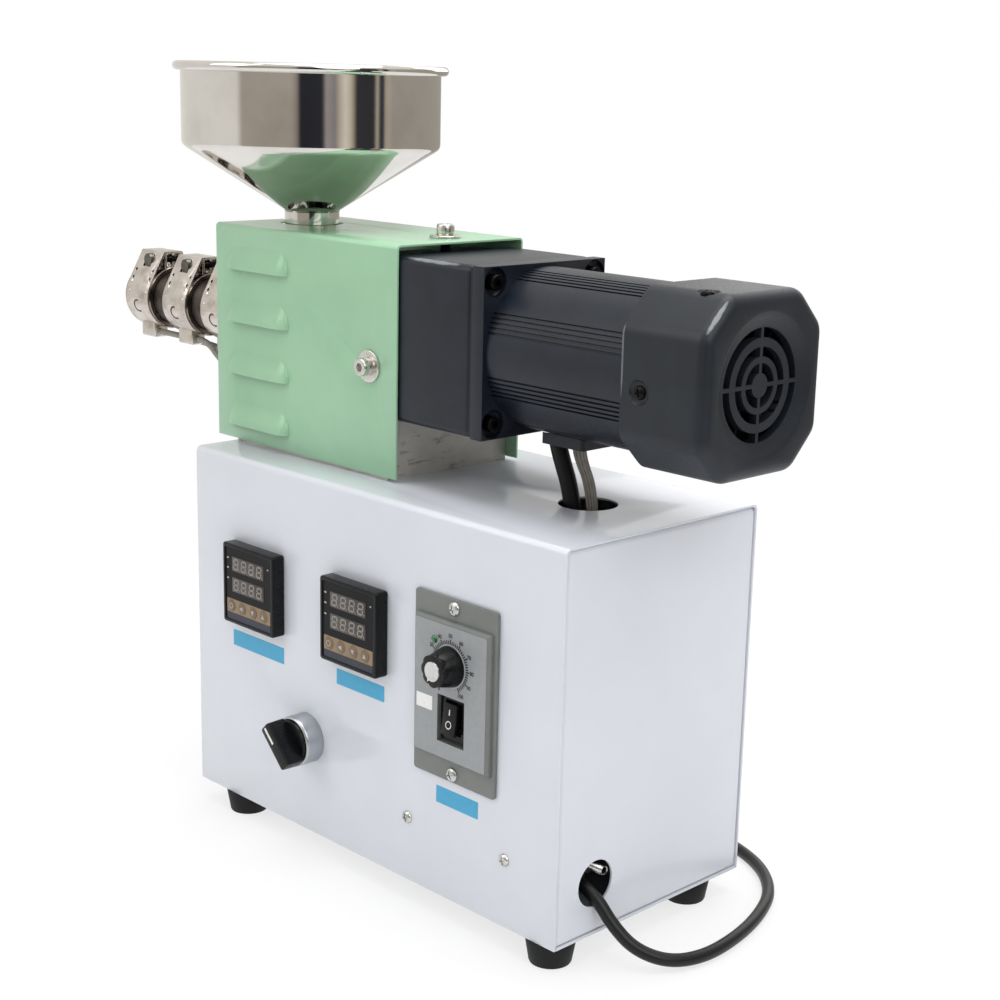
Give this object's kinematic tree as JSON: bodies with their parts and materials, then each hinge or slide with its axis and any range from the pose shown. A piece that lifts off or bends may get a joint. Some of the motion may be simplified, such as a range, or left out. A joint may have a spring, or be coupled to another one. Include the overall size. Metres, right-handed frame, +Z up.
{
  "type": "single screw extruder",
  "caption": "Table-top single screw extruder: white control cabinet on rubber feet, green louvred cover, steel hopper, band-heated barrel and dark gearmotor.",
  "frame": {"origin": "on the table, under the middle of the outline without its mains cord", "axes": "+X from the nozzle along the barrel to the motor, +Y from the control front to the back, +Z up"},
  "size_m": [0.5336, 0.317, 0.4455],
  "materials": {
    "white_paint": "satin",
    "green_paint": "satin",
    "navy_paint": "satin",
    "fan_plastic": "satin",
    "control_plastic": "satin",
    "plate_plastic": "matte",
    "polished_steel": "polished",
    "band_steel": "satin",
    "barrel_steel": "satin",
    "zinc_steel": "satin",
    "chrome_ring": "polished",
    "rough_aluminium": "matte",
    "black_rubber": "matte",
    "sleeve_black": "satin",
    "braid_sleeve": "matte"
  },
  "bodies": {
    "machine": {"barrel": "barrel_steel", "barrel_controller": "control_plastic", "base_plate": "rough_aluminium", "bearing_housing": "rough_aluminium", "cabinet_floor": "white_paint", "cabinet_left_end": "white_paint", "cabinet_right_end": "white_paint", "cabinet_shell": "white_paint", "cord_clamp": "control_plastic", "cover": "green_paint", "cover_back_bolt": "zinc_steel", "cover_front_bolt": "zinc_steel", "cover_top_bolt": "zinc_steel", "fan_cover": "fan_plastic", "feed_block": "rough_aluminium", "feed_controller": "control_plastic", "foot_back_left": "black_rubber", "foot_back_right": "black_rubber", "foot_front_left": "black_rubber", "foot_front_right": "black_rubber", "gearbox": "navy_paint", "heater_band_1": "band_steel", "heater_band_2": "band_steel", "heater_band_3": "band_steel", "heater_lead_1": "braid_sleeve", "heater_lead_2": "braid_sleeve", "heater_lead_3": "braid_sleeve", "hopper": "polished_steel", "hopper_neck": "polished_steel", "lead_block": "navy_paint", "motor_body": "navy_paint", "motor_braid": "braid_sleeve", "motor_flange": "navy_paint", "motor_sleeve": "sleeve_black", "nozzle": "barrel_steel", "power_cord": "sleeve_black", "power_cord_coil": "sleeve_black", "power_plug": "sleeve_black", "selector_ring": "chrome_ring", "speed_plate": "plate_plastic", "water_nipple": "zinc_steel"},
    "knob": {"speed_knob": "control_plastic"},
    "rocker": {"power_rocker": "control_plastic"},
    "handle": {"selector_handle": "control_plastic"},
    "fan": {"cooling_fan": "fan_plastic"}
  },
  "joints": [
    {"name": "selector_turn", "type": "hinge", "parent": "machine", "child": "handle", "pos_m": [0.01175, -0.0742, 0.0707], "axis": [0, 1, 0], "range_deg": [0, 90]},
    {"name": "speed_turn", "type": "hinge", "parent": "machine", "child": "knob", "pos_m": [0.13605, -0.0687, 0.1468], "axis": [0, 1, 0], "range_deg": [0, 270]},
    {"name": "rocker_tilt", "type": "hinge", "parent": "machine", "child": "rocker", "pos_m": [0.13705, -0.06934, 0.1184], "axis": [1, 0, 0], "range_deg": [0, 14]},
    {"name": "fan_spin", "type": "hinge", "parent": "machine", "child": "fan", "pos_m": [0.24825, 0.0108, 0.3025], "axis": [1, 0, 0], "continuous": true}
  ]
}
